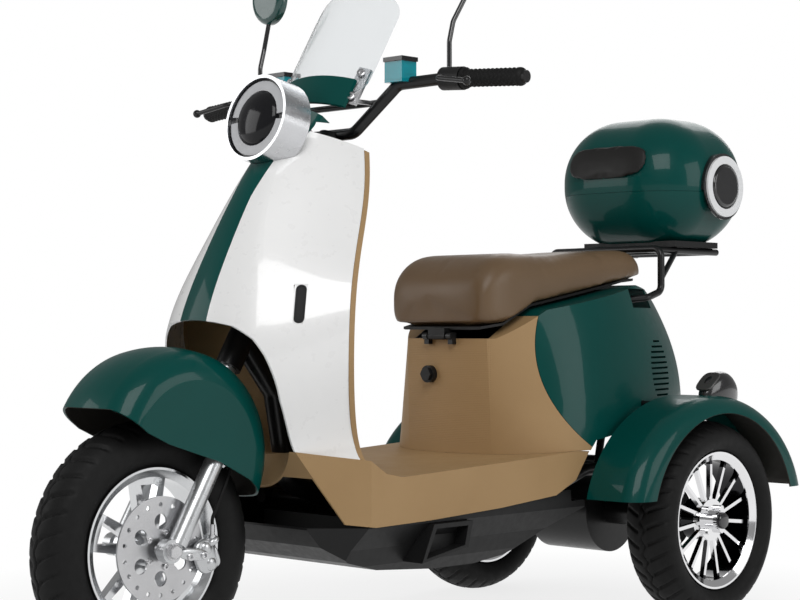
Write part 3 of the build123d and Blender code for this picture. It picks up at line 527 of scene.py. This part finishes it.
def turned(profile, middle, normal, steps=64):
    """A profile of (height, radius) pairs turned round a normal through the middle."""
    normal, first, second = ring_frame(normal)
    profile = np.array(profile, dtype=float)
    angle = np.linspace(0, 2 * math.pi, steps, endpoint=False)
    ring = np.cos(angle)[:, None] * first + np.sin(angle)[:, None] * second
    return np.array(middle) + profile[:, :1, None] * normal + profile[:, 1:, None] * ring


def capped(grid):
    """The grid with each end ring closed to its middle point."""
    start, end = (np.broadcast_to(grid[row].mean(axis=0), (1, *grid.shape[1:])) for row in (0, -1))
    return np.concatenate([start, grid, end])


def band(heights, radii, span, middle, normal):
    """A rectangle of two heights and two radii carried round part of a circle, its ends drawn to points."""
    normal, first, second = ring_frame(normal)
    angle = np.linspace(span[0], span[1], 72)[:, None]
    corners = [(heights[0], radii[0]), (heights[0], radii[1]), (heights[1], radii[1]), (heights[1], radii[0])]
    height, radius = np.array(corners).T
    out = np.cos(angle)[..., None] * first + np.sin(angle)[..., None] * second
    return capped(np.array(middle) + height[None, :, None] * normal + radius[None, :, None] * out)


lamp_tilt = math.radians(12)
lamp_out = np.array([0.0, -math.cos(lamp_tilt), math.sin(lamp_tilt)])
lamp_face = np.array([0.0, -0.44485, 0.965]) - 0.0087 * lamp_out
frost = Finish("ring_light", Coat_Weight=0.5, Coat_Roughness=0.08)
frost.mottle(60.0, (0.26, 0.265, 0.28), (0.33, 0.335, 0.35))
frost.wear(90.0, 0.3, 0.42)
gap = 0.09
ring_heights = (0.0, 0.0035)
ring_radii = (0.0515, 0.0695)
halves = [band(ring_heights, ring_radii, (start + gap, start + math.pi - gap), lamp_face, lamp_out)
          for start in (math.pi / 2, 3 * math.pi / 2)]
piece("ring_light", halves, frost, "chassis")
dome_radius = 0.051
dome_rise = 0.020
backing_radius = 0.0735
dome = [(-0.002, 0.0), (-0.002, dome_radius)]
dome += [(dome_rise * math.sin(a), dome_radius * math.cos(a)) for a in np.linspace(0, math.pi / 2, 24)]
backing = [(-0.010, 0.0), (-0.010, backing_radius), (0.0, backing_radius), (0.0, 0.0)]
lamp_grids = [turned(profile, lamp_face, lamp_out) for profile in (dome, backing)]
domed = piece("lamp_dome", lamp_grids, lamp_black, "chassis")
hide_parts("headlight_lens")


# Mirrors
# Black clamps at the stems' feet, green moulded heads, and silvered glass on the rider's side.
mirror_finish = Finish("mirror_shell", Coat_Weight=0.5, Coat_Roughness=0.05)
z = mirror_finish.axes()[2]
head_low = 1.1935
stem_black = (0.008, 0.008, 0.009)
head_green = (0.0004, 0.044, 0.038)
mirror_finish.feed("Base Color", mirror_finish.blend(z > head_low, stem_black, head_green))
mirror_finish.wear(60.0, 0.16, 0.26)
dress(mirror_finish, "mirrors")


def oval(middle, right, up, thickness, power=2.0, steps=64):
    """A slab whose outline is a superellipse of two half axes, |a|^p + |b|^p = 1, with a slightly smaller
    front edge."""
    right, up = np.array(right, dtype=float), np.array(up, dtype=float)
    normal = np.cross(right, up)
    normal = normal / np.linalg.norm(normal)
    angle = np.linspace(0, 2 * math.pi, steps, endpoint=False)
    bend = [np.sign(wave) * np.abs(wave) ** (2 / power) for wave in (np.cos(angle), np.sin(angle))]
    edge = bend[0][:, None] * right + bend[1][:, None] * up
    rows = [(0.0, 0.0), (1.0, 0.0), (1.0, 0.7 * thickness), (0.97, thickness), (0.0, thickness)]
    return np.array([np.array(middle) + share * edge + lift * normal for share, lift in rows])


glass = Finish("mirror_glass", Metallic=1.0, Base_Color=(0.85, 0.87, 0.88, 1.0))
glass.wear(20.0, 0.01, 0.03)
mirror_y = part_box("mirrors")[1].y
glass_x, glass_z = 0.272, 1.245
glass_wide, glass_high = 0.0425, 0.0485
faces = [oval((side * glass_x, mirror_y - 0.0004, glass_z), (-glass_wide, 0, 0), (0, 0, glass_high), 0.0016)
         for side in (-1, 1)]
piece("mirror_glass", faces, glass, "steering")


# Bolts, nuts and caps
# Zinc-plated hexagon and socket heads: axle nuts, fork and caliper bolts, disc bolts, and screws that
# hold the windscreen on its straps.
def hexagon(middle, normal, radius, height):
    """A six-sided head with a round chamfered crown."""
    profile = [(0, 0), (0, radius), (0.85 * height, radius), (height, 0.86 * radius), (height, 0)]
    return turned(profile, middle, normal, 6)


def socket(middle, normal, radius, height):
    """A round head with a recess."""
    profile = [(0, 0), (0, radius), (0.9 * height, radius), (height, 0.9 * radius), (height, 0.55 * radius),
               (0.35 * height, 0.5 * radius), (0.35 * height, 0)]
    return turned(profile, middle, normal, 24)


zinc = Finish("zinc_bolts", Metallic=1.0)
zinc.mottle(80.0, (0.50, 0.50, 0.51), (0.66, 0.66, 0.67))
zinc.wear(160.0, 0.16, 0.34)
# Lengths along the tricycle are counted from the front axle, at axle_y.
axle_y = -0.69785
axle_z = 0.2153
rear_axle_y = 0.48565
rear_axle_z = 0.1993
lug_x = 0.084
washer_thick = 0.002
washer_radius = 0.0145
washer = [(0, 0), (0, washer_radius), (washer_thick, washer_radius), (washer_thick, 0)]
fork_lean = math.radians(30.5)
fork_leg_x = 0.074
fork_leg_back = 0.0155
crown_bolts = (0.172, 0.190)
front_hardware = []
for side in (-1, 1):
    out = (side, 0, 0)
    lug_face = side * lug_x
    front_hardware.append(turned(washer, (lug_face, axle_y, axle_z), out, 40))
    front_hardware.append(hexagon((lug_face + side * washer_thick, axle_y, axle_z), out, 0.0125, 0.010))
up = np.array([0, math.sin(fork_lean), math.cos(fork_lean)])
back = np.array([0, math.cos(fork_lean), -math.sin(fork_lean)])
for side in (-1, 1):
    leg = np.array([side * fork_leg_x, axle_y + 0.012, axle_z])
    for climb in crown_bolts:
        front_hardware.append(socket(leg + climb * up + fork_leg_back * back, back, 0.006, 0.007))
arm_face = 0.0776
arm_bolts_z = 0.203
for arm_y in (0.070, 0.040):
    front_hardware.append(socket((arm_face, axle_y + arm_y, arm_bolts_z), (1, 0, 0), 0.0065, 0.007))
banjo = [(0, 0), (0, 0.007), (0.012, 0.007), (0.012, 0.0045), (0.030, 0.0045), (0.030, 0)]
front_hardware.append(turned(banjo, (0.066, axle_y + 0.100, 0.222), (0, 0, 1), 24))
piece("fork_bolts", front_hardware, zinc, "steering")
disc_bolts = []
bolt_circle = 0.030
bolt_count = 5
disc_face = 0.052
for number in range(bolt_count):
    angle = 2 * math.pi * number / bolt_count
    place = (disc_face, axle_y + bolt_circle * math.cos(angle), axle_z + bolt_circle * math.sin(angle))
    disc_bolts.append(socket(place, (1, 0, 0), 0.0055, 0.004))
piece("disc_bolts", disc_bolts, zinc, "front_wheel")
screen_slope = math.radians(31)
screen_half = 0.115
screen_sag = 0.035
screen_radius = (screen_half ** 2 + screen_sag ** 2) / (2 * screen_sag)
screen_centre = screen_radius - screen_sag
screw_x = 0.098
screw_climbs = (-0.034, -0.086)
up = np.array([0, math.sin(screen_slope), math.cos(screen_slope)])
lean = np.array([0, math.cos(screen_slope), -math.sin(screen_slope)])
screen_screws = []
for side in (-1, 1):
    x = side * screw_x
    depth = math.sqrt(screen_radius ** 2 - x ** 2)
    out = np.array([x / screen_radius, 0, 0]) - lean * depth / screen_radius
    for climb in screw_climbs:
        place = np.array([x, axle_y + 0.450, 1.075]) + lean * (screen_centre - depth) + up * climb
        screen_screws.append(socket(place + 0.0002 * out, out, 0.0075, 0.004))
piece("screen_screws", screen_screws, zinc, "steering")
for side, body in ((1, "rear_wheel_left"), (-1, "rear_wheel_right")):
    out = (side, 0, 0)
    hub_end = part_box("rear_rim_left")[1].x * side
    cap = [(-0.002, 0), (-0.002, 0.0165), (0.004, 0.0165), (0.007, 0.0145), (0.008, 0.010), (0.008, 0)]
    name = "left" if side > 0 else "right"
    cap_grid = turned(cap, (hub_end, rear_axle_y, rear_axle_z), out, 40)
    piece(f"hub_cap_{name}", [cap_grid], gloss_black, body)


# Pill-shaped vents
# A long round-ended inlet with a dark wire mesh in each white shield panel, in a white surround.
pill = Finish("vent_mesh", Specular_IOR_Level=0.35)
x, y, z = pill.axes()
mesh_pitch = 2600.0
wires = pill.maths("SINE", (y + z) * mesh_pitch) * pill.maths("SINE", (y - z) * mesh_pitch)
pill.feed("Base Color", pill.blend(pill.ramp(wires, 0.1, 0.5), (0.045, 0.045, 0.046), (0.006, 0.006, 0.006)))
pill.wear(70.0, 0.45, 0.6)
pill.bump(wires, 0.0008, 0.8)


def capsule(middle, right, up, wide, thickness, steps=48):
    """A slab whose outline is two straight sides of the up length joined by half circles of the half width,
    with a rim that stands above a sunken face."""
    right, up = (np.array(way, dtype=float) for way in (right, up))
    right, rise = right / np.linalg.norm(right), up / np.linalg.norm(up)
    normal = np.cross(right, rise)
    angle = np.linspace(0, 2 * math.pi, steps, endpoint=False)
    straight = np.sign(np.sin(angle))[:, None] * (up / 2)
    edge = np.cos(angle)[:, None] * right + np.sin(angle)[:, None] * rise
    sunk = thickness - 0.0016
    rows = [(0.0, 0.0, 0.0), (1.0, wide, 0.0), (1.0, wide, thickness), (1.0, wide - 0.0018, thickness),
            (1.0, wide - 0.0022, sunk), (0.0, 0.0, sunk)]
    return np.array([np.array(middle) + part * straight + size * edge + lift * normal
                     for part, size, lift in rows])


vent_top = np.array([0.1595, 0.2200 + axle_y, 0.652])
vent_foot = np.array([0.1675, 0.2072 + axle_y, 0.604])
flank = np.array([0.675, 0.737, 0.0])
outward = np.cross(flank, vent_top - vent_foot)
outward = outward / np.linalg.norm(outward)
middle = (vent_top + vent_foot) / 2
rise = vent_top - vent_foot
vents = [capsule(middle - 0.004 * outward, flank, rise, 0.0095, 0.006)]
piece("pill_vents", vents + [vents[0] * (-1, 1, 1)], pill, "chassis")
rise = rise / np.linalg.norm(rise)
surround = oval(middle - 0.0029 * outward, flank * 0.013, rise * 0.037, 0.0027, 9.0, 96)
piece("vent_surrounds", [surround, surround * (-1, 1, 1)], white_panel, "chassis")


# Brake caliper and its fittings
# A cast two-piston body with rounded lobes, bolted to a lug on the fork and straddling the disc.
def lobe(middle, half, turn, power=2.6, steps=40):
    """A superellipsoid of three half sizes, |a|^p + |b|^p + |c|^p = 1, turned about the axle's direction."""
    down = np.linspace(-math.pi / 2, math.pi / 2, 22)[:, None]
    round_way = np.linspace(0, 2 * math.pi, steps, endpoint=False)[None, :]

    def bend(wave):
        return np.sign(wave) * np.abs(wave) ** (2 / power)

    x = bend(np.cos(down)) * bend(np.cos(round_way)) * half[0]
    y = bend(np.cos(down)) * bend(np.sin(round_way)) * half[1]
    z = bend(np.sin(down)) * half[2] + 0 * round_way
    y, z = y * math.cos(turn) - z * math.sin(turn), y * math.sin(turn) + z * math.cos(turn)
    return np.stack([x, y, z], axis=-1) + np.array(middle)


# Each lobe has its middle, its three half sizes, its turn and, where it isn't 2.6, its power.
body_y = axle_y + 0.087
cast_body = [lobe((0.064, body_y, 0.199), (0.0095, 0.024, 0.030), 0.35),
             lobe((0.068, body_y - 0.004, 0.212), (0.0085, 0.0125, 0.0125), 0.0, 2.2),
             lobe((0.068, body_y + 0.006, 0.186), (0.0085, 0.0125, 0.0125), 0.0, 2.2),
             lobe((0.050, body_y + 0.020, 0.199), (0.0235, 0.007, 0.024), 0.35),
             lobe((0.036, body_y, 0.199), (0.0085, 0.022, 0.027), 0.35),
             lobe((0.077, axle_y + 0.050, 0.206), (0.0045, 0.030, 0.0105), -0.12),
             lobe((0.070, body_y + 0.012, 0.224), (0.0075, 0.012, 0.0065), 0.5, 2.2)]
casting = piece("cast_caliper", cast_body, silver, "steering")
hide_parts("caliper")


# Lamp pods
# Black gloss housings shaped like a leaning drop, one on each rear mudguard.
pod_x = 0.311
pod_half = 0.025
pod_long = 0.118
pod_high = 0.036


def pod(side):
    """A rounded cross section carried along an arc that leans back: half width and height are sine shares
    of the way along."""
    share = np.linspace(0, 1, 28)[:, None]
    angle = np.linspace(0, 2 * math.pi, 40, endpoint=False)[None, :]
    swell = np.sin(math.pi * share) ** 0.42
    x = pod_x + pod_half * swell * np.sign(np.cos(angle)) * np.abs(np.cos(angle)) ** 0.8
    high = pod_high * swell * np.sign(np.sin(angle)) * np.abs(np.sin(angle)) ** 0.8
    y = 1.180 + axle_y + pod_long * share + 0.10 * high
    z = 0.446 + 0.026 * np.sin(math.pi * share * 0.8) - 0.020 * share + high
    return np.stack([x * side, y, z], axis=-1)


pods = piece("rounded_pods", [pod(1), pod(-1)], gloss_black, "chassis")
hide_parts("lamp_pods")


# Saddle base
# A black moulded tray that follows the saddle's outline just inside its edge.
def tray():
    """The saddle's plan half width and its lower edge by station, carried as a thin closed section."""
    station = np.array([0.741, 0.765, 0.790, 0.830, 0.866, 0.930, 1.000, 1.065, 1.130, 1.190, 1.235])
    half = np.interp(station, [0.741, 0.790, 0.880, 1.000, 1.130, 1.225],
                     [0.104, 0.120, 0.124, 0.120, 0.112, 0.096])
    low = np.interp(station, [0.741, 0.790, 0.866, 1.190, 1.250], [0.5830, 0.5905, 0.6275, 0.6815, 0.6868])
    edge = 0.006
    rows = []
    for y, wide, z in zip(station, half, low):
        rows.append([(-wide, y, z + edge), (-wide, y, z + 0.001), (-wide + edge, y, z), (wide - edge, y, z),
                     (wide, y, z + 0.001), (wide, y, z + edge)])
    return capped(np.array(rows) + (0, axle_y, 0))


hinge_y, hinge_z = 0.732 + axle_y, 0.5705
hinge_half = 0.022
hinge_radius = 0.007
barrel = turned([(-hinge_half, 0), (-hinge_half, hinge_radius), (hinge_half, hinge_radius), (hinge_half, 0)],
                (0, hinge_y, hinge_z), (1, 0, 0), 32)
web_front, web_back = hinge_y - 0.006, hinge_y + 0.012
web_low, web_high = 0.5735, 0.5735 + 0.0125
web_section = ((web_front, web_low), (web_back, web_low), (web_back, web_high), (web_front, web_high))
web = np.array([[(x, y, z) for y, z in web_section] for x in (-hinge_half, hinge_half)])
base = piece("saddle_tray", [tray(), barrel, capped(web)], moulding, "seat")
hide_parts("seat_pan")


# Lamp pod faces
# Smoked lenses on the front slopes of the two pods on the rear mudguards.
smoke = Finish("smoked_lens", Coat_Weight=0.5, Coat_Roughness=0.12)
smoke.mottle(40.0, (0.030, 0.029, 0.028), (0.045, 0.044, 0.042))
smoke.wear(90.0, 0.3, 0.42)
slope_low = np.array([pod_x, 1.1795 + axle_y, 0.456])
slope_high = np.array([pod_x, 1.2300 + axle_y, 0.496])
lens_share = 0.86
lens_half = 0.021
lenses = []
for side in (-1, 1):
    middle = (slope_low + slope_high) / 2 * (side, 1, 1)
    rise = (slope_high - slope_low) / 2 * lens_share
    lenses.append(oval(middle - (0, 0.0008, 0), (lens_half, 0, 0), rise, 0.0035, 3.2))
piece("pod_lenses", lenses, smoke, "chassis")


# Mudguard linings
# The mudguards' inner sides are bare dark plastic under the colour coat.
def lining(name, node, middle, body):
    """The faces of a mudguard that look at its wheel, lifted a little along their own directions and given
    a thin wall."""
    copy = nodes[node].data.copy()
    work = bmesh.new()
    work.from_mesh(copy)
    bmesh.ops.remove_doubles(work, verts=work.verts, dist=1e-6)
    work.normal_update()
    least_facing = 0.35
    off = []
    for face in work.faces:
        at = face.calc_center_median()
        towards = np.array([0.6 * (np.sign(at.x) * middle[0] - at.x), middle[1] - at.y, middle[2] - at.z])
        if np.dot(towards, face.normal) < least_facing * np.linalg.norm(towards):
            off.append(face)
    bmesh.ops.delete(work, geom=off, context="FACES")
    work.normal_update()
    lift = 0.0004
    for vertex in work.verts:
        vertex.co += vertex.normal * lift
    work.to_mesh(copy)
    work.free()
    copy.materials.clear()
    copy.materials.append(bare.material)
    made = bpy.data.objects.new(name, copy)
    bpy.context.scene.collection.objects.link(made)
    wall = made.modifiers.new("wall", "SOLIDIFY")
    wall.thickness = 0.0005
    wall.offset = 1.0
    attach(made, body)


bare = Finish("bare_lining", Specular_IOR_Level=0.25)
bare.mottle(20.0, (0.026, 0.024, 0.020), (0.036, 0.033, 0.028))
bare.wear(80.0, 0.6, 0.75)
lining("front_guard_lining", "front_mudguard", (0.0, 0.041 + axle_y, 0.370), "steering")
lining("rear_guard_linings", "rear_mudguards", (0.308, rear_axle_y, rear_axle_z), "chassis")


# Seat and trunk pads
# Brown vinyl over foam, with a fine pebbled grain.
vinyl = Finish("seat_vinyl", Specular_IOR_Level=0.3, Coat_Weight=0.05, Coat_Roughness=0.3)
vinyl.mottle(6.0, (0.122, 0.076, 0.040), (0.158, 0.102, 0.056))
vinyl.wear(60.0, 0.34, 0.46)
pebble = vinyl.pebbles("SMOOTH_F1", 640.0)
vinyl.bump(pebble, 0.0003, 0.45)
dress(vinyl, "seat_cushion")

dark_vinyl = Finish("pad_vinyl", Specular_IOR_Level=0.25)
dark_vinyl.mottle(9.0, (0.008, 0.0075, 0.007), (0.014, 0.0132, 0.0125))
dark_vinyl.wear(60.0, 0.42, 0.55)
pebble = dark_vinyl.pebbles("SMOOTH_F1", 700.0)
dark_vinyl.bump(pebble, 0.0002, 0.4)
dress(dark_vinyl, "trunk_pad")


# Padded saddle and trunk pad
# Vinyl covers pulled over moulded foam. The covers swell a little under the foam's push, so each starts
# from the bare pad's form, drawn in, and is blown up as a sewn cover.
def merged(form):
    """An editable copy of the form whose points that fall together are one."""
    work = bmesh.new()
    work.from_mesh(form)
    bmesh.ops.remove_doubles(work, verts=work.verts, dist=1e-6)
    return work


def settle(made):
    """Turn the piece's modifiers into its mesh."""
    view = bpy.context.evaluated_depsgraph_get()
    result = bpy.data.meshes.new_from_object(made.evaluated_get(view))
    made.modifiers.clear()
    made.data = result


def foam_pad(name, node, form, body, finish, voxel, swell):
    """The form remeshed in even squares and drawn in by half the swell. Each point then moves by its
    simulated shift, held to the swell, before one subdivision."""
    made = bpy.data.objects.new(name, form)
    bpy.context.scene.collection.objects.link(made)
    work = merged(made.data)
    work.to_mesh(made.data)
    work.free()
    remesh = made.modifiers.new("even", "REMESH")
    remesh.mode = "VOXEL"
    remesh.voxel_size = voxel
    remesh.use_smooth_shade = True
    soften = made.modifiers.new("soften", "SMOOTH")
    soften.factor = 0.5
    soften.iterations = 6
    settle(made)
    count = len(made.data.vertices)
    start = np.empty(count * 3)
    normals = np.empty(count * 3)
    made.data.vertices.foreach_get("co", start)
    made.data.vertices.foreach_get("normal", normals)
    drawn = start - normals * swell / 2
    made.data.vertices.foreach_set("co", drawn)
    last_moment = 20
    cover = made.modifiers.new("cover", "CLOTH")
    cover.settings.use_pressure = True
    cover.settings.uniform_pressure_force = 4.0
    cover.settings.effector_weights.gravity = 0.0
    for moment in range(1, last_moment + 1):
        bpy.context.scene.frame_set(moment)
    settle(made)
    blown = np.empty(count * 3)
    made.data.vertices.foreach_get("co", blown)
    shift = (blown - drawn).reshape(-1, 3)
    length = np.linalg.norm(shift, axis=1, keepdims=True)
    held = shift * np.minimum(1, swell / np.maximum(length, 1e-9))
    made.data.vertices.foreach_set("co", (drawn.reshape(-1, 3) + held).ravel())
    bpy.context.scene.frame_set(1)
    made.data.update()
    made.data.materials.clear()
    made.data.materials.append(finish.material)
    made.data.shade_smooth()
    finer = made.modifiers.new("finer", "SUBSURF")
    finer.levels = finer.render_levels = 1
    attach(made, body)
    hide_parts(node)


def rounded_form(source, middle, half, power):
    """The bare pad's mesh with each point's place across the pad (u, v) drawn in to a rounded outline, by the
    share max(|u|, |v|) / (|u|^p + |v|^p)^(1/p). Depth follows the pad's own front, found by a ray, moved
    by the same amount."""
    form = source.copy()
    work = merged(form)
    bmesh.ops.triangulate(work, faces=work.faces)
    long_edge = 0.012
    long_ones = [edge for edge in work.edges if edge.calc_length() > long_edge]
    bmesh.ops.subdivide_edges(work, edges=long_ones, cuts=3)
    shell = BVHTree.FromBMesh(work)
    ray_run = 0.5
    just_inside = 0.995

    def front(x, z):
        hit = shell.ray_cast((x, middle[1] - ray_run, z), (0, 1, 0))[0]
        return hit.y if hit else None

    for corner in work.verts:
        across, up = corner.co.x - middle[0], corner.co.z - middle[2]
        u, v = abs(across / half[0]), abs(up / half[1])
        reach = max(u, v)
        if reach < 1e-6:
            continue
        share = reach / (u ** power + v ** power) ** (1 / power)
        x = middle[0] + across * share
        z = middle[2] + up * share
        before = front(middle[0] + across * just_inside, middle[2] + up * just_inside)
        after = front(x, z)
        if before is not None and after is not None:
            corner.co.y += after - before
        corner.co.x = x
        corner.co.z = z
    work.to_mesh(form)
    work.free()
    return form


saddle_form = nodes["seat_cushion"].data.copy()
foam_pad("padded_saddle", "seat_cushion", saddle_form, "seat", vinyl, 0.006, 0.005)
pad_middle = (0.0, 0.55, 0.945)
pad_half = (0.105, 0.040)
backrest = rounded_form(nodes["trunk_pad"].data, pad_middle, pad_half, 3.0)
foam_pad("padded_backrest", "trunk_pad", backrest, "lid", dark_vinyl, 0.004, 0.003)
